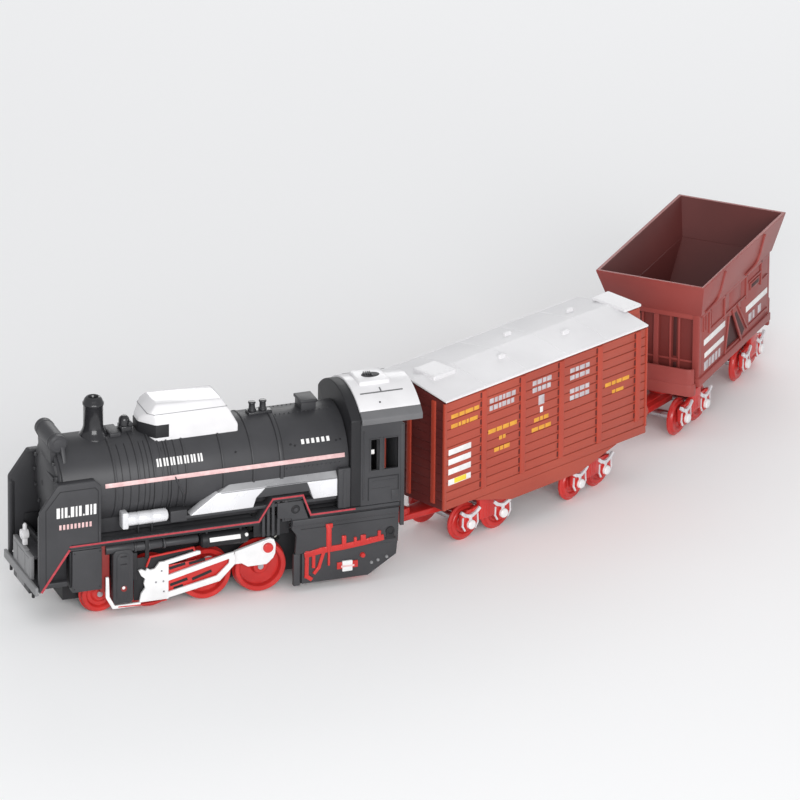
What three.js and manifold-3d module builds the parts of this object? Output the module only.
// Toy steam train: a battery locomotive, a covered boxcar and an open hopper wagon, coupled on a curve.
// Millimetres, +Z up. The locomotive lies along X with its front towards -X; its left side faces -Y.
import * as THREE from "three";
import { mergeVertices } from "three/addons/utils/BufferGeometryUtils.js";
import Module from "manifold-3d";

const wasm = await Module();
wasm.setup();

// ---- driving dimensions ----
const GAP = 0.3; // free gap between touching pieces
const HALF_WIDTH = 22.5; // half width over the sides of every vehicle

const BOILER = { radius: 20, wall: 1.6, z: 58, front: 12, rear: 141.2, foot: 14.1 };
const BOARD = { top: 36.9, thick: 2.2, front: 14, rear: 164, archTop: 46.6 };
const CAB = { front: 141.5, wallFront: 146, rear: 165, roofRear: 174, eave: 75, arcRadius: 31.4, arcZ: 56.1 };
const DRIVER = { xs: [52.1, 77.3, 102.5], z: 12.2, rim: 11.7, crank: 5.5, pin: 2, sides: 20 };
const SMALL_WHEEL = { rim: 8.2, z: 9, pilotX: 29.7, trailingX: 146, sides: 12 };
const WHEEL = { outer: 16.4, tread: 13.2, flange: 11.7, axle: 1.8 };
const PIN_ANGLE = { left: 82, right: 172 }; // crank pin directions at rest, degrees from rearward towards up
const ROD = { inner: 17, outer: 19, half: 2.4, hole: 2.4 };
const GEAR = { module: 1.1, axle: 10, idler: 14, pinion: 7, slack: 0.3, y0: 3, y1: 5.6 };

const DRAWBAR = { pivotX: 149.5, length: 21.5, z: 21.5, thick: 2.4 };
const ARM = 43; // bogie centre to coupling pin
const BOGIE = { halfBase: 9.6, wheelZ: 8.7, rim: 7.6, outer: 14.6, sides: 12, top: 20 };
const BOXCAR = { length: 126, halfPivots: 31.5, floor: 22.5, top: 73.5, ridge: 78, wall: 1.8, trayHalf: 55 };
const HOPPER = { length: 99, width: 52, halfPivots: 33.5, floor: 24, waist: 58, rim: 75, wall: 1.6, trayHalf: 44 };

// how far each vehicle is turned from the one before it while the train stands on its curve, degrees
const TURN = {
  drawbar: 24, frontCoupling: -1.7, boxcar: 2.7, boxcarRear: 8.5,
  rearCoupling: 8.8, hopper: 4.7, hopperRear: 3,
};

const plastic = (color, roughness = 0.45, metalness = 0) =>
  new THREE.MeshStandardMaterial({ color, roughness, metalness });
const LOOK = {
  black: () => plastic(0x3b3b3e),
  silver: () => plastic(0xdcdce0, 0.3, 0.4),
  white: () => plastic(0xf2f1f0, 0.4),
  red: () => plastic(0xc8342c, 0.4),
  orange: () => plastic(0xc65a4a, 0.5),
  brown: () => plastic(0x8a3e3a, 0.5),
  steel: () => plastic(0xb8babd, 0.3, 0.9),
  brass: () => plastic(0xb8923a, 0.35, 0.9),
};

// ---- shapes ----
const radians = THREE.MathUtils.degToRad;

function outline(points) {
  return new THREE.Shape(points.map(([a, b]) => new THREE.Vector2(a, b)));
}

function extrude(points, depth) {
  return new THREE.ExtrudeGeometry(outline(points), { depth, bevelEnabled: false, steps: 1 });
}

// outline in X and Z, pushed from y0 to y1
function sideShape(points, y0, y1) {
  return extrude(points, y1 - y0).rotateX(Math.PI / 2).translate(0, y1, 0);
}

// outline in Y and Z, pushed from x0 to x1
function endShape(points, x0, x1) {
  const turn = new THREE.Matrix4().makeBasis(
    new THREE.Vector3(0, 1, 0), new THREE.Vector3(0, 0, 1), new THREE.Vector3(1, 0, 0));
  return extrude(points, x1 - x0).applyMatrix4(turn).translate(x0, 0, 0);
}

// outline in X and Y, pushed from z0 to z1
function planShape(points, z0, z1) {
  return extrude(points, z1 - z0).translate(0, 0, z0);
}

function block(x0, x1, y0, y1, z0, z1) {
  const box = new THREE.BoxGeometry(x1 - x0, y1 - y0, z1 - z0);
  return box.translate((x0 + x1) / 2, (y0 + y1) / 2, (z0 + z1) / 2);
}

function arc(cx, cy, radius, fromDegrees, toDegrees, steps) {
  const points = [];
  for (let i = 0; i <= steps; i += 1) {
    const angle = radians(fromDegrees + ((toDegrees - fromDegrees) * i) / steps);
    points.push([cx + radius * Math.cos(angle), cy + radius * Math.sin(angle)]);
  }
  return points;
}

// round bars along each axis
const barX = (x0, x1, y, z, radius, sides = 8) =>
  new THREE.CylinderGeometry(radius, radius, x1 - x0, sides).rotateZ(-Math.PI / 2).translate((x0 + x1) / 2, y, z);
const barY = (y0, y1, x, z, radius, sides = 8) =>
  new THREE.CylinderGeometry(radius, radius, y1 - y0, sides).translate(x, (y0 + y1) / 2, z);
const barZ = (z0, z1, x, y, radius, sides = 8) =>
  new THREE.CylinderGeometry(radius, radius, z1 - z0, sides).rotateX(Math.PI / 2).translate(x, y, (z0 + z1) / 2);

// a turned shape: profile of [distance along the axle, radius], turned about Y with a flat at the bottom
function turned(profile, sides) {
  const points = profile.map(([y, radius]) => new THREE.Vector2(radius, y));
  return new THREE.LatheGeometry(points, sides).rotateY(Math.PI / sides);
}

const turnedZ = (profile, sides, x, y) => turned(profile, sides).rotateX(Math.PI / 2).translate(x, y, 0);

// ---- joining and cutting ----
function toSolid(geometry) {
  const bare = geometry.clone();
  bare.deleteAttribute("normal");
  bare.deleteAttribute("uv");
  const merged = mergeVertices(bare, 1e-4);
  const corners = merged.index.array;
  const kept = [];
  for (let i = 0; i < corners.length; i += 3) {
    const [a, b, c] = [corners[i], corners[i + 1], corners[i + 2]];
    if (a !== b && b !== c && c !== a) kept.push(a, b, c);
  }
  const vertProperties = new Float32Array(merged.attributes.position.array);
  return new wasm.Manifold(new wasm.Mesh({ numProp: 3, vertProperties, triVerts: new Uint32Array(kept) }));
}

function toGeometry(solid) {
  const mesh = solid.getMesh();
  const geometry = new THREE.BufferGeometry();
  geometry.setAttribute("position", new THREE.BufferAttribute(new Float32Array(mesh.vertProperties), 3));
  geometry.setIndex(new THREE.BufferAttribute(new Uint32Array(mesh.triVerts), 1));
  return geometry;
}

const join = (first, ...others) =>
  toGeometry(others.reduce((sum, piece) => sum.add(toSolid(piece)), toSolid(first)));
const cut = (first, ...tools) =>
  toGeometry(tools.reduce((rest, tool) => rest.subtract(toSolid(tool)), toSolid(first)));
const overlap = (first, ...others) =>
  toGeometry(others.reduce((rest, piece) => rest.intersect(toSolid(piece)), toSolid(first)));

// ---- scene graph ----
const train = new THREE.Group();

function pivot(parent, x, turnDegrees, name) {
  const group = new THREE.Group();
  group.name = name;
  group.position.x = x;
  group.rotation.z = radians(turnDegrees);
  parent.add(group);
  return group;
}

function add(parent, name, geometry, material) {
  const mesh = new THREE.Mesh(geometry, material);
  mesh.name = name;
  parent.add(mesh);
  return mesh;
}

// pieces that come in pairs: left faces -Y, right faces +Y
const SIDES = [["left", -1], ["right", 1]];
const band = (sign, near, far) => (sign < 0 ? [-far, -near] : [near, far]);
const sideBlock = (sign, x0, x1, near, far, z0, z1) => block(x0, x1, ...band(sign, near, far), z0, z1);
const sidePlate = (sign, points, near, far) => sideShape(points, ...band(sign, near, far));

// ---- wheels ----
function wheelProfile(rim, flange, outer) {
  const half = [
    [-outer, 0], [-outer, rim], [-WHEEL.tread, rim], [-WHEEL.tread, flange],
    [-WHEEL.flange, flange], [-WHEEL.flange, WHEEL.axle],
  ];
  const mirrored = half.map(([y, radius]) => [-y, radius]).reverse();
  return [...half, ...mirrored];
}

// the flange is a polygon whose flats touch the ground level
function wheelset(rim, axleZ, outer, sides) {
  return turned(wheelProfile(rim, axleZ / Math.cos(Math.PI / sides), outer), sides);
}

function addWheelset(parent, name, x, z, geometry) {
  const mesh = add(parent, name, geometry, LOOK.red());
  mesh.position.set(x, 0, z);
}

function crankPin(side) {
  const angle = radians(PIN_ANGLE[side]);
  return [DRIVER.crank * Math.cos(angle), DRIVER.crank * Math.sin(angle)];
}

function driveWheelset() {
  const wheels = wheelset(DRIVER.rim, DRIVER.z, WHEEL.outer, DRIVER.sides);
  const pins = SIDES.map(([side, sign]) => {
    const [x, z] = crankPin(side);
    return barY(...band(sign, WHEEL.outer - 1, ROD.outer + 0.4), x, z, DRIVER.pin);
  });
  return join(wheels, ...pins);
}

// ---- locomotive: boiler ----
function boilerShell() {
  const { radius, wall, z, front, rear, foot } = BOILER;
  const base = BOARD.top + GAP;
  const outer = [[foot, base], ...arc(0, z, radius, -45, 225, 22), [-foot, base]];
  const innerFoot = foot - wall;
  const inner = [[innerFoot, base - 1], ...arc(0, z, radius - wall, -45, 225, 18), [-innerFoot, base - 1]];
  const turret = block(125, 132, -4, 4, z + radius - 1, 82.6);
  const bands = [36, 80, 92, 104].map((x) =>
    endShape(arc(0, z, radius + 0.25, -30, 210, 22), x, x + 1.2));
  const archRoom = SIDES.map(([, sign]) => sideBlock(sign, 98, 124, 13, 24, 30, BOARD.archTop + GAP));
  return cut(join(endShape(outer, front, rear), turret, ...bands), endShape(inner, front - 1, rear + 1), ...archRoom);
}

function smokeboxDoor() {
  const profile = [[-3.4, 0], [-3, 9], [-1.6, 14.5], [0, 17.5], [3.2, 17.5], [3.2, 0]];
  return turned(profile, 20).rotateZ(-Math.PI / 2).translate(BOILER.front - 3.5, 0, BOILER.z);
}

function feedwaterHeater() {
  const drum = barY(-11, 11, 12.6, 79.6, 4.3, 16);
  const saddle = block(9.5, 15.7, -8, 8, 74, 79);
  return cut(join(drum, saddle), barX(2, 30, 0, BOILER.z, BOILER.radius + GAP, 32));
}

const CROWN = BOILER.z + BOILER.radius + GAP;
const chimney = () =>
  turnedZ([[CROWN, 0], [CROWN, 6.4], [80, 5], [81.5, 4.3], [93, 4.3], [94.6, 3.4], [95.4, 0]], 16, 31.7, 0);
const bell = () =>
  turnedZ([[CROWN, 0], [CROWN, 3], [80, 2.4], [84, 2.4], [84.8, 0]], 12, 45.5, 0);

function domeCover() {
  const side = [[50.8, 84], [57.5, 90.8], [87.2, 90], [93.8, 78], [93.8, 74], [50.8, 74]];
  const end = [[-10.5, 74], [10.5, 74], [10.5, 85], [7, 91], [-7, 91], [-10.5, 85]];
  const plan = [[50.8, -3], [50.8, 3], [56.5, 10.5], [94, 10.5], [94, -10.5], [56.5, -10.5]];
  const shape = overlap(sideShape(side, -12, 12), endShape(end, 48, 96), planShape(plan.reverse(), 70, 95));
  return cut(shape, barX(40, 100, 0, BOILER.z, BOILER.radius + 0.6, 32));
}

function safetyValves() {
  const base = block(102.6, 111.6, -2, 2, CROWN, 79.2);
  const pins = [104.8, 109.4].map((x) => barZ(79, 83.4, x, 0, 1.3, 8));
  return join(base, ...pins);
}

// ---- locomotive: running board, front and sides ----
// the edge rises over the last driving wheel in an arch
function boardEdge(lift) {
  const low = BOARD.top + lift;
  const high = BOARD.archTop + lift;
  return [[BOARD.front, low], [99.5, low], [105.8, high], [119.5, high], [123.2, low], [BOARD.rear, low]];
}

function runningBoard() {
  const profile = [...boardEdge(-BOARD.thick).reverse(), ...boardEdge(0)];
  const well = block(22, 136, -12.3, 12.3, 20, 60);
  const archSlot = block(98, 124.5, -16.8, 16.8, 20, 60);
  const screwHoles = [17.5, 158].map((x) => barZ(30, 42, x, 0, 1.4, 8));
  return cut(sideShape(profile, -HALF_WIDTH, HALF_WIDTH), well, archSlot, ...screwHoles);
}

function deflector(sign) {
  const plate = [[0, 16], [13.6, 34.2], [28, 34.2], [28, 63], [25.6, 65.5], [8.5, 65.5], [0, 54]];
  const wing = endShape([[0, 17], [3, 18], [3, 51], [0, 54]].map(([y, z]) => [sign * (HALF_WIDTH - y), z]), 0, 1.6);
  const notch = sideBlock(sign, 13.9, 29, 18, 24, 30, BOARD.top + GAP);
  return join(cut(sidePlate(sign, plate, HALF_WIDTH - 1.6, HALF_WIDTH), notch), wing);
}

function pilotBeam() {
  const bumper = block(-1.9, -GAP, -22.4, 22.4, 15, 19.2);
  const neck = block(-1, 2.6, -19, 19, 15.6, 18.8);
  const shelf = block(2, 13.6, -20.4, 20.4, 17, 19.6);
  const panel = block(-0.9, 1.2, -12, 12, 18.6, 29.8);
  const deck = block(-0.9, 13.6, -12, 12, 27.8, 29.8);
  const apron = block(6, 7.4, -19, 19, 18.8, 33);
  const buffer = block(-1.2, 6, -11, 11, 11.4, 15.8);
  return join(bumper, neck, shelf, panel, deck, apron, buffer);
}

// one lamp stands in the middle of the deck, with a small knob on its crown
function headlamp() {
  const lamp = barX(-1.2, 2.4, 0, 35.2, 2.4, 12);
  const knob = barZ(36.8, 40.4, 0.7, 0, 1.1);
  const foot = block(-0.4, 1.8, -1.2, 1.2, 29.8 + GAP, 33.8);
  return join(lamp, knob, foot);
}

function fireboxPanel(sign) {
  const section = [[14.5, 41], [19.4, 41], [21.6, 43.2], [22, 47], [21.4, 51.5], [19.6, 55.4], [14.5, 55.4]];
  const placed = section.map(([y, z]) => [sign * y, z]);
  const slanted = [[66.5, 40], [84.5, 56], [135.5, 56], [135.5, 40]];
  const panel = overlap(endShape(sign < 0 ? placed.reverse() : placed, 60, 140), sidePlate(sign, slanted, 10, 24));
  return cut(
    panel,
    barX(50, 150, 0, BOILER.z, BOILER.radius + 0.7, 32),
    sideBlock(sign, 98.2, 124.8, 10, 25, 36, BOARD.archTop + 0.6),
  );
}

const airTank = (sign) =>
  turned([[0, 0], [0, 2.2], [0.7, 2.9], [20.3, 2.9], [21, 2.2], [21, 0]], 14)
    .rotateZ(-Math.PI / 2).translate(37.7, sign * 19.2, 43.2);
const reservoir = (sign) =>
  turned([[0, 0], [0, 2.4], [0.8, 3.1], [21.2, 3.1], [22, 2.4], [22, 0]], 14)
    .rotateZ(-Math.PI / 2).translate(73.6, sign * 18.9, 30.4);

function cylinder(sign) {
  const chest = sideBlock(sign, 29.6, 43.2, 17.2, 22.2, 24, 34);
  const lobe = sidePlate(sign, [[32.5, 8], [34, 6.2], [42.2, 6.2], [43.2, 8], [43.2, 26], [32.5, 26]], 17.2, HALF_WIDTH);
  const stepBox = sideBlock(sign, 14.2, 28.2, 17.2, 22.2, 14, 33.8);
  const link = sideBlock(sign, 27, 31, 17.2, 19.6, 24, 33.8);
  return join(chest, lobe, stepBox, link);
}

// the crosshead plate, its three bars and the strip that wraps under the cylinder, one flat moulding
function crossheadGuide(sign) {
  const plate = [
    [44, 5.4], [58.6, 5.4], [58.6, 22.3], [54, 22.3], [51, 20], [47.5, 21], [44, 20.4], [46.4, 16], [44.6, 12],
  ];
  const upperBar = [[57, 21.4], [73.2, 23], [73.2, 24.4], [57, 23.4]];
  const mainBar = [[57, 13.6], [87.6, 20.6], [88.4, 23.2], [57, 16.2]];
  const lowerBar = [[57, 5.6], [82, 10.6], [88.6, 18], [88.6, 22.2], [86.2, 21.6], [86.2, 18.4], [80.6, 12.8], [57, 8]];
  const toe = [[30, 19.4], [31.8, 19.4], [32, 10], [34.4, 5.4], [45, 5.4], [45, 3.8], [33.2, 3.8], [30, 9.6]];
  const y = [20.4, 21.9];
  const flats = [upperBar, mainBar, lowerBar].map((bar) => sidePlate(sign, bar, ...y));
  const strap = cut(sidePlate(sign, toe, ...y), sideBlock(sign, 32.2, 43.5, 16, 24, 5.9, 30));
  const hanger = sideBlock(sign, 48, 50, 20.4, 21.9, 20, BOARD.top - BOARD.thick - GAP);
  return join(sidePlate(sign, plate, ...y), ...flats, strap, hanger);
}

function skirt(sign) {
  const plate = [
    [114.6, 29], [117, 27], [117, 18], [115.6, 18], [115.6, 4], [118.6, 3.2], [150, 3.2], [163, 11.5],
    [164, 22], [164, 34.4], [122.4, 34.4], [119, 43.6], [107.4, 43.6], [107.4, 36], [114.6, 36],
  ];
  const ledge = sideBlock(sign, 124.5, 163.6, 19.4, HALF_WIDTH, 31.4, 34.4);
  return join(sidePlate(sign, plate, 19.6, 22), ledge);
}

// ---- locomotive: cab ----
const roofLine = (inset, steps) => {
  const radius = CAB.arcRadius - inset;
  const half = HALF_WIDTH + 0.4 - inset;
  const spread = THREE.MathUtils.radToDeg(Math.asin(half / radius));
  return arc(0, CAB.arcZ, radius, 90 - spread, 90 + spread, steps);
};

function cabShell() {
  const base = BOARD.top + GAP;
  const plate = CAB.eave - GAP;
  const side = [[HALF_WIDTH, base], [HALF_WIDTH, plate], [20.4, plate]];
  const otherSide = side.map(([y, z]) => [-y, z]).reverse();
  const walls = [...side, ...roofLine(2.5, 12), ...otherSide];
  const collar = [[22, base], ...roofLine(0.9, 12), [-22, base]];
  const room = [[20.6, base - 1], ...roofLine(4.2, 10), [-20.6, base - 1]];
  const windows = [[150, 154.6], [156.4, 163]].map(([x0, x1]) => block(x0, x1, -25, 25, 53, 68));
  const rearDoor = block(163, 166, -6, 6, 40, 68);
  const spyHoles = SIDES.map(([, sign]) => sideBlock(sign, 144, 147, 6, 12, 78.6, 81));
  const body = join(endShape(walls, CAB.wallFront - 0.5, CAB.rear), endShape(collar, CAB.front, CAB.wallFront));
  return cut(body, endShape(room, CAB.wallFront, CAB.rear - 1.8), ...windows, rearDoor, ...spyHoles);
}

function cabRoof() {
  const under = roofLine(2, 12).reverse();
  const drop = [[-HALF_WIDTH - 0.4, CAB.eave], [-HALF_WIDTH + 1, CAB.eave]];
  const lip = [[HALF_WIDTH - 1, CAB.eave], [HALF_WIDTH + 0.4, CAB.eave]];
  const section = [...roofLine(0, 14), ...drop, ...under, ...lip];
  const pad = block(150.5, 164.5, -7, 7, 85, 88.6);
  const slot = block(154, 161, -2.2, 2.2, 87.4, 90);
  return cut(join(endShape(section, CAB.wallFront + GAP, CAB.roofRear), pad), slot);
}

const powerSwitch = () => join(block(154.6, 157.6, -1.8, 1.8, 87.8, 89.4), block(155.4, 156.8, -1.8, 1.8, 89, 90));

// ---- locomotive: chassis and drive ----
const gearRadius = (teeth) => (GEAR.module * teeth) / 2;

function place(centre, angleDegrees, teethA, teethB) {
  const distance = gearRadius(teethA) + gearRadius(teethB) + GEAR.slack;
  const angle = radians(angleDegrees);
  return [centre[0] + distance * Math.cos(angle), centre[1] + distance * Math.sin(angle)];
}

const IDLER_ANGLE = 45;
const PINION_ANGLE = 80;
const AXLE_AT = [DRIVER.xs[2], DRIVER.z];
const IDLER_AT = place(AXLE_AT, IDLER_ANGLE, GEAR.axle, GEAR.idler);
const MOTOR_AT = place(IDLER_AT, PINION_ANGLE, GEAR.idler, GEAR.pinion);

// the turn that puts a tooth of the next gear into a gap of the one before it
function nextPhase(phase, teeth, towards, nextTeeth) {
  const share = (towards - phase) / (360 / teeth);
  return towards + 180 - (360 / nextTeeth) * (0.5 - share);
}

function gear(teeth, phaseDegrees, centre) {
  const pitch = 360 / teeth;
  const radius = gearRadius(teeth);
  const steps = [[-0.3, -1.1], [-0.13, 0.8], [0.13, 0.8], [0.3, -1.1]];
  const points = [];
  for (let tooth = 0; tooth < teeth; tooth += 1) {
    for (const [turn, reach] of steps) {
      const angle = radians(phaseDegrees + pitch * (tooth + turn));
      const r = radius + reach * GEAR.module;
      points.push([centre[0] + r * Math.cos(angle), centre[1] + r * Math.sin(angle)]);
    }
  }
  return sideShape(points, GEAR.y0, GEAR.y1);
}

const AXLE_PHASE = IDLER_ANGLE;
const IDLER_PHASE = nextPhase(AXLE_PHASE, GEAR.axle, IDLER_ANGLE, GEAR.idler);
const PINION_PHASE = nextPhase(IDLER_PHASE, GEAR.idler, PINION_ANGLE, GEAR.pinion);

const axleGear = () => cut(gear(GEAR.axle, AXLE_PHASE, AXLE_AT), barY(0, 9, ...AXLE_AT, WHEEL.axle + 0.1, 20));
const idlerGear = () => join(gear(GEAR.idler, IDLER_PHASE, IDLER_AT), barY(-7, 8.8, ...IDLER_AT, 1, 8));
const motorPinion = () => join(gear(GEAR.pinion, PINION_PHASE, MOTOR_AT), barY(1.9, 6.4, ...MOTOR_AT, 0.9, 8));
const motor = () => join(barY(-12, 1, ...MOTOR_AT, 7.6, 16), barY(0.6, 1.7, ...MOTOR_AT, 2.6, 10));

const BATTERY = { front: 62, rear: 112.5, radius: 7.1, z: 56 };

function chassisFrame() {
  const rails = SIDES.map(([, sign]) => sideBlock(sign, 14.5, 162, 7.4, 9.6, 6, 26));
  const floors = [block(14.5, 90, -8, 8, 19.4, 21.4), block(124, 147, -8, 8, 16, 18), block(146, 162, -8, 8, 23.6, 26)];
  const bridges = [block(14.5, 18, -8, 8, 6, 26), block(158.5, 162, -8, 8, 23, 26), block(124, 127, -8, 8, 8, 22)];
  const saddles = [66, 104].map((x) => block(x, x + 2.5, -7.8, 7.8, 20, BATTERY.z - 3));
  const saddleFeet = block(104, 106.5, -9, 9, 24, 26);
  const cradle = block(109, 119, -9, -5, 24, 30);
  const posts = [block(15, 19, -3, 3, 20, 34.3), block(157, 161, -3, 3, 24, 34.3)];
  const axles = [
    ...DRIVER.xs.map((x) => barY(-12, 12, x, DRIVER.z, WHEEL.axle + 0.35)),
    ...[SMALL_WHEEL.pilotX, SMALL_WHEEL.trailingX].map((x) => barY(-12, 12, x, SMALL_WHEEL.z, WHEEL.axle + 0.35)),
    barY(-12, 12, ...IDLER_AT, 1.3),
  ];
  const battery = barX(BATTERY.front - 8, BATTERY.rear + 8, 0, BATTERY.z, BATTERY.radius + GAP, 24);
  const drawbarRoom = block(145.4, 170, -12, 12, 18.4, 23.2);
  const drawbarPin = barZ(16.6, 24, DRAWBAR.pivotX, 0, 1.4);
  const motorRoom = barY(-16, 4, ...MOTOR_AT, 7.6 + GAP, 24);
  const gearRoom = barY(-0.5, 7.2, ...IDLER_AT, gearRadius(GEAR.idler) + 1.4, 20);
  const body = join(rails[0], rails[1], ...floors, ...bridges, ...saddles, saddleFeet, cradle, ...posts);
  return join(cut(body, ...axles, battery, motorRoom, gearRoom, drawbarRoom), drawbarPin);
}

const battery = () =>
  turned([[0, 0], [0, 2.6], [1.2, 2.6], [1.3, BATTERY.radius], [50.5, BATTERY.radius], [50.5, 0]], 16)
    .rotateZ(-Math.PI / 2).translate(BATTERY.front, 0, BATTERY.z);
const batteryContact = () =>
  turned([[0, 0], [0, 2.2], [5.2, 4.6], [6, 6.2], [6.8, 6.2], [6.8, 0]], 12)
    .rotateZ(-Math.PI / 2).translate(BATTERY.rear + GAP, 0, BATTERY.z);

// the flat rod on the crank pins, with its tall plate over the last driving wheel
function couplingRod(side, sign) {
  const [dx, dz] = crankPin(side);
  const z = DRIVER.z + dz;
  const [x1, x2, x3] = DRIVER.xs.map((x) => x + dx);
  const bar = [[x3, z + ROD.half], ...arc(x1, z, ROD.half + 0.6, 90, 270, 6), [x3, z - ROD.half]];
  const plate = [
    [x3 - 14, z + 1], [x3 - 13.6, z + 4.4], [x3 + 2.6, z + 8.6], [x3 + 4.8, z + 7], [x3 + 5, z + 1.4],
    [x3 + 4, z - 0.6], [x3 + 1, z - 3.4], [x3 - 7.6, z - 3.4],
  ];
  const y = band(sign, ROD.inner, ROD.outer);
  const boss = barY(...band(sign, ROD.outer - 0.4, ROD.outer + 1.6), x3 + 2, z + 4.6, 2.6);
  const holes = [x1, x2, x3].map((x) => barY(...band(sign, ROD.inner - 1, ROD.outer + 0.7), x, z, ROD.hole));
  return cut(join(sideShape(bar, ...y), sideShape(plate.reverse(), ...y), boss), ...holes);
}

function rearDrawbar() {
  const { length, z, thick } = DRAWBAR;
  const eye = cut(barZ(z - thick, z, 0, 0, 4.4, 16), barZ(z - 5, z + 3, 0, 0, 1.8));
  const bar = block(3.4, length, -2.6, 2.6, z - thick, z);
  const hook = join(barZ(z - thick, z, length, 0, 4, 12), barZ(z - 7.4, z - 1, length, 0, 1.5, 10));
  return join(eye, bar, hook, barZ(z - 1, z + 3, length, 0, 2, 10));
}

// ---- locomotive assembly ----
const locomotive = pivot(train, 0, 0, "locomotive");
add(locomotive, "boiler_shell", boilerShell(), LOOK.black());
add(locomotive, "smokebox_door", smokeboxDoor(), LOOK.black());
add(locomotive, "feedwater_heater", feedwaterHeater(), LOOK.black());
add(locomotive, "chimney", chimney(), LOOK.black());
add(locomotive, "bell", bell(), LOOK.black());
add(locomotive, "dome_cover", domeCover(), LOOK.silver());
add(locomotive, "safety_valves", safetyValves(), LOOK.black());
add(locomotive, "running_board", runningBoard(), LOOK.black());
add(locomotive, "pilot_beam", pilotBeam(), LOOK.black());
add(locomotive, "headlamp", headlamp(), LOOK.silver());
add(locomotive, "cab_shell", cabShell(), LOOK.black());
add(locomotive, "cab_roof", cabRoof(), LOOK.white());
add(locomotive, "power_switch", powerSwitch(), LOOK.black());
add(locomotive, "chassis_frame", chassisFrame(), LOOK.black());
add(locomotive, "motor", motor(), LOOK.steel());
add(locomotive, "motor_pinion", motorPinion(), LOOK.brass());
add(locomotive, "idler_gear", idlerGear(), LOOK.white());
add(locomotive, "axle_gear", axleGear(), LOOK.white());
add(locomotive, "battery", battery(), LOOK.steel());
add(locomotive, "battery_contact", batteryContact(), LOOK.steel());

for (const [side, sign] of SIDES) {
  add(locomotive, `deflector_${side}`, deflector(sign), LOOK.black());
  add(locomotive, `firebox_panel_${side}`, fireboxPanel(sign), LOOK.silver());
  add(locomotive, `air_tank_${side}`, airTank(sign), LOOK.silver());
  add(locomotive, `reservoir_${side}`, reservoir(sign), LOOK.black());
  add(locomotive, `cylinder_${side}`, cylinder(sign), LOOK.black());
  add(locomotive, `crosshead_guide_${side}`, crossheadGuide(sign), LOOK.white());
  add(locomotive, `skirt_${side}`, skirt(sign), LOOK.black());
  add(locomotive, `coupling_rod_${side}`, couplingRod(side, sign), LOOK.white());
}

DRIVER.xs.forEach((x, i) => {
  addWheelset(locomotive, `drive_wheelset_${i + 1}`, x, DRIVER.z, driveWheelset());
});
const smallWheels = () => wheelset(SMALL_WHEEL.rim, SMALL_WHEEL.z, 15.4, SMALL_WHEEL.sides);
addWheelset(locomotive, "pilot_wheelset", SMALL_WHEEL.pilotX, SMALL_WHEEL.z, smallWheels());
addWheelset(locomotive, "trailing_wheelset", SMALL_WHEEL.trailingX, SMALL_WHEEL.z, smallWheels());

const drawbar = pivot(locomotive, DRAWBAR.pivotX, TURN.drawbar, "drawbar");
add(drawbar, "rear_drawbar", rearDrawbar(), LOOK.red());

// ---- bogies ----
// arm is -1 on a leading bogie and 1 on a trailing one: the coupling arm points out of the vehicle's end
function bogieSide(sign) {
  const { halfBase, wheelZ, top } = BOGIE;
  const frame = [
    [-14.6, 14.6], [-14.6, 9], [-12, 5.4], [-7, 5.4], [-4.4, 9], [4.4, 9], [7, 5.4], [12, 5.4], [14.6, 9],
    [14.6, 14.6], [6, 16], [4.6, top], [-4.6, top], [-6, 16],
  ];
  const boxes = [-halfBase, halfBase].map((x) => barY(...band(sign, 17, 19.4), x, wheelZ, 2.2));
  return join(sidePlate(sign, frame.reverse(), 15.4, 18), ...boxes);
}

// the eye at the arm's end is drilled for the next vehicle's pin, or carries a pin of its own
function bogieFrame(arm, eyeZ, withPin) {
  const reach = arm * ARM;
  const span = (near, far) => [arm * near, arm * far].sort((a, b) => a - b);
  const bolster = block(-4.6, 4.6, -17, 17, 17.9, BOGIE.top);
  const hub = barZ(12.4, 18.2, 0, 0, 5.4, 10);
  const tongue = [[2, -7], [20, -5], [37, -3], [37, 3], [20, 5], [2, 7]].map(([x, y]) => [arm * x, arm * y]);
  const neck = block(...span(33, ARM), -3, 3, eyeZ, eyeZ + 3);
  const eye = barZ(eyeZ, eyeZ + 3, reach, 0, 4.6, 10);
  const sides = SIDES.map(([, sign]) => bogieSide(sign));
  const body = join(bolster, hub, ...sides, planShape(tongue, 12.6, 15.6), neck, eye);
  const pinHole = barZ(5, 25, 0, 0, 2.6);
  if (withPin) return join(cut(body, pinHole), barZ(eyeZ + 1, eyeZ + 8.6, reach, 0, 1.5));
  return cut(body, pinHole, barZ(5, 25, reach, 0, 1.9));
}

// ---- wagons ----
function wagonWheels(parent, vehicle, firstNumber) {
  [-1, 1].forEach((side, i) => {
    const geometry = wheelset(BOGIE.rim, BOGIE.wheelZ, BOGIE.outer, BOGIE.sides);
    addWheelset(parent, `${vehicle}_wheelset_${firstNumber + i}`, side * BOGIE.halfBase, BOGIE.wheelZ, geometry);
  });
}

// the flat under-tray that carries both bogie pins; x is measured from the front bogie pin
const TRAY_FOOT = BOGIE.top + 0.4;
function underframe(halfPivots, half, top) {
  const tray = block(halfPivots - half, halfPivots + half, -11, 11, TRAY_FOOT, top);
  const crossbars = [0, 2 * halfPivots].map((x) => block(x - 4, x + 4, -18, 18, TRAY_FOOT, top));
  const pins = [0, 2 * halfPivots].map((x) => barZ(11, TRAY_FOOT + 1, x, 0, 2.2));
  return join(tray, ...crossbars, ...pins);
}

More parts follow.
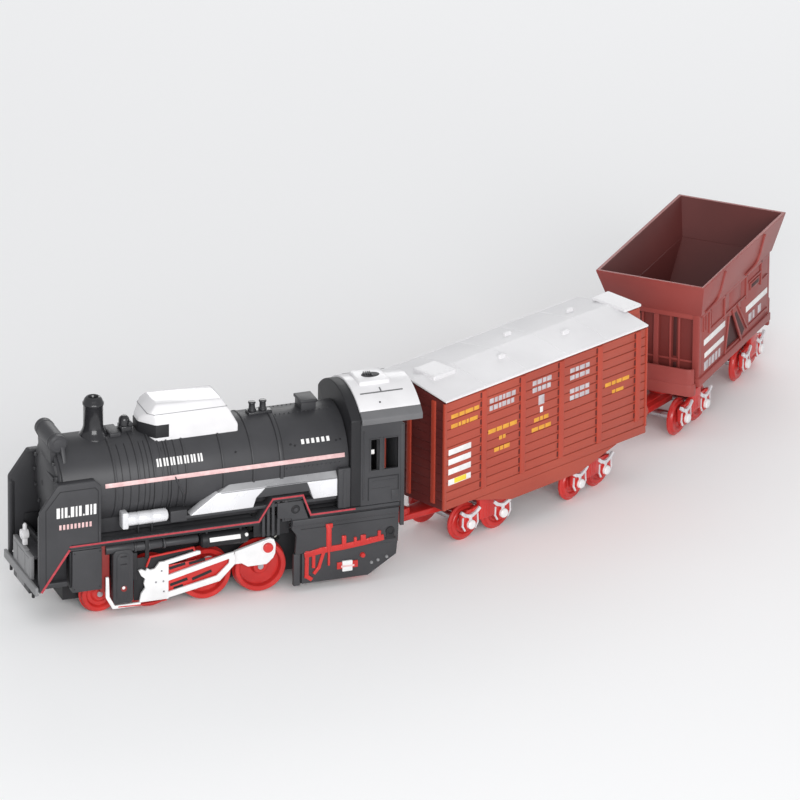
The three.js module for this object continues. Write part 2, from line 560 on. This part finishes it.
function boxcarBody() {
  const { length, halfPivots, floor, top, wall } = BOXCAR;
  const half = length / 2;
  const skin = HALF_WIDTH - 0.6;
  const belly = [
    [-half, floor], [-45, floor], [-21, 15.6], [21, 15.6], [45, floor], [half, floor], [half, top], [-half, top],
  ];
  const sides = SIDES.map(([, sign]) => sidePlate(sign, belly, skin - wall, skin));
  const ends = [-1, 1].map((end) => {
    const xs = end < 0 ? [-half, -half + wall] : [half - wall, half];
    return endShape([[-skin, floor], [skin, floor], [skin, top], [0, top + 3.6], [-skin, top]], ...xs);
  });
  const floorPlate = block(-half, half, -skin, skin, floor, floor + 2);
  const posts = SIDES.flatMap(([, sign]) => [-39, -15, 9, 33, 57].map((x) =>
    sideBlock(sign, x - 1.6, x + 1.6, skin - 0.5, HALF_WIDTH, floor + 2.2, top - 0.6)));
  const ribs = [-15, 0, 15].map((y) => block(-half - 0.7, -half + 1, y - 1.3, y + 1.3, floor + 2, top));
  const cabin = join(block(half - 1, half + 7.6, -10, 10, 40, top), block(half + GAP, half + 7.6, -10, 10, top - 1, top + 3.6));
  const step = sideShape([[half - 1, 24], [half + 3, 24], [half + 6, 30], [half + 3.6, 37], [half - 1, 38]], -18, 18);
  const body = join(sides[0], sides[1], ...ends, floorPlate, ...posts, ...ribs, cabin, step);
  return body.translate(halfPivots, 0, 0);
}

function boxcarRoof() {
  const { length, halfPivots, top, ridge } = BOXCAR;
  const half = length / 2;
  const eave = top + GAP;
  const section = [[-22.5, eave], [0, ridge - 0.6], [22.5, eave], [22.5, eave + 0.9], [0, ridge + 0.6], [-22.5, eave + 0.9]];
  const tabs = [[-14.5, -8], [25, -8], [5, 8], [44, 8]].map(([x, y]) => block(x - 2, x + 2, y - 2, y + 2, 76.6, 78.8));
  const pad = block(-55, -41, -7, 7, 77, 79.4);
  const cabinRoof = block(half - 3, half + 8, -10.4, 10.4, top + 3.9, top + 5.4);
  return join(endShape(section, -half, half), ...tabs, pad, cabinRoof).translate(halfPivots, 0, 0);
}

// a four-sided funnel section between two heights
function funnel(lengthTop, widthTop, lengthBottom, zBottom, zTop) {
  const shape = new THREE.CylinderGeometry(Math.SQRT1_2, (Math.SQRT1_2 * lengthBottom) / lengthTop, zTop - zBottom, 4);
  return shape.rotateY(Math.PI / 4).rotateX(Math.PI / 2)
    .scale(lengthTop, widthTop, 1).translate(0, 0, (zBottom + zTop) / 2);
}

function hopperTub() {
  const { length, width, floor, waist, rim, wall, halfPivots } = HOPPER;
  const waistLength = (length * 2 * HALF_WIDTH) / width;
  const flare = funnel(length, width, waistLength, waist, rim);
  const body = block(-40, 40, -21.6, 21.6, floor, waist + 1);
  const corners = [-1, 1].flatMap((end) => SIDES.map(([, sign]) =>
    sideBlock(sign, end * 41 - 1.5, end * 41 + 1.5, 18, 21.4, floor + 1, waist + 0.8)));
  const rails = SIDES.map(([, sign]) => sideBlock(sign, -43, 43, 19, HALF_WIDTH, floor, floor + 4));
  const straps = SIDES.flatMap(([, sign]) => [-31, -13, 13, 31].map((x) =>
    sideBlock(sign, x - 1, x + 1, 21, HALF_WIDTH - 0.2, floor + 2, waist + 0.6)));
  const endRibs = [-1, 1].map((end) => block(end * 40.4 - 0.8, end * 40.4 + 0.8, -1.2, 1.2, floor + 1.5, waist + 0.4));
  const mouth = funnel(length - 2 * wall, width - 2 * wall, ((length - 2 * wall) * (waistLength - 2 * wall)) / length, waist + 0.5, rim + 0.5);
  const chute = sideShape([[-39.5, waist + 1.5], [-11, 28], [11, 28], [39.5, waist + 1.5]], -19.8, 19.8);
  const chuteRoom = SIDES.flatMap(([, sign]) => [sidePlate(sign, [[-11, 29], [11, 29], [7, 44], [-7, 44]], 20.6, 24)]);
  const shell = join(flare, body, ...corners, ...rails, ...straps, ...endRibs);
  return cut(shell, mouth, chute, ...chuteRoom).translate(halfPivots, 0, 0);
}

function hopperUnderframe() {
  const { halfPivots, floor } = HOPPER;
  const frame = underframe(halfPivots, HOPPER.trayHalf, floor - GAP);
  const platforms = [-1, 1].map((end) => {
    const edges = [end * 43.8, end * 48].sort((a, b) => a - b);
    return block(halfPivots + edges[0], halfPivots + edges[1], -21, 21, TRAY_FOOT, 26.4);
  });
  return join(frame, ...platforms);
}

// ---- the wagons on their curve ----
function addWagon(pin, vehicle, halfPivots, turns, pieces) {
  const frontArm = pivot(pin, ARM, 0, `${vehicle}_front_bogie`);
  add(frontArm, `${vehicle}_bogie_front`, bogieFrame(-1, ...pieces.frontEye), LOOK.red());
  wagonWheels(frontArm, vehicle, 1);
  const body = pivot(frontArm, 0, turns.body, `${vehicle}_body`);
  for (const [piece, geometry, colour] of pieces.body) {
    add(body, `${vehicle}_${piece}`, geometry, colour());
  }
  const rear = pivot(body, 2 * halfPivots, turns.rear, `${vehicle}_rear_bogie`);
  add(rear, `${vehicle}_bogie_rear`, bogieFrame(1, ...pieces.rearEye), LOOK.red());
  wagonWheels(rear, vehicle, 3);
  return rear;
}

const HIGH_EYE = [15.4, false];
const LOW_EYE = [11.4, true];

const frontPin = pivot(drawbar, DRAWBAR.length, TURN.frontCoupling, "front_pin");
const boxcarRear = addWagon(frontPin, "boxcar", BOXCAR.halfPivots, { body: TURN.boxcar, rear: TURN.boxcarRear }, {
  frontEye: HIGH_EYE,
  rearEye: HIGH_EYE,
  body: [
    ["body", boxcarBody(), LOOK.orange],
    ["roof", boxcarRoof(), LOOK.white],
    ["underframe", underframe(BOXCAR.halfPivots, BOXCAR.trayHalf, BOXCAR.floor - GAP), LOOK.red],
  ],
});
const rearPin = pivot(boxcarRear, ARM, TURN.rearCoupling, "rear_pin");
addWagon(rearPin, "hopper", HOPPER.halfPivots, { body: TURN.hopper, rear: TURN.hopperRear }, {
  frontEye: LOW_EYE,
  rearEye: HIGH_EYE,
  body: [
    ["tub", hopperTub(), LOOK.brown],
    ["underframe", hopperUnderframe(), LOOK.brown],
  ],
});

// the train's own origin is the middle of its footprint, at ground level
train.updateMatrixWorld(true);
const bounds = new THREE.Box3().setFromObject(train, true);
const middle = bounds.getCenter(new THREE.Vector3());
train.position.set(-middle.x, -middle.y, -bounds.min.z);

export default train;
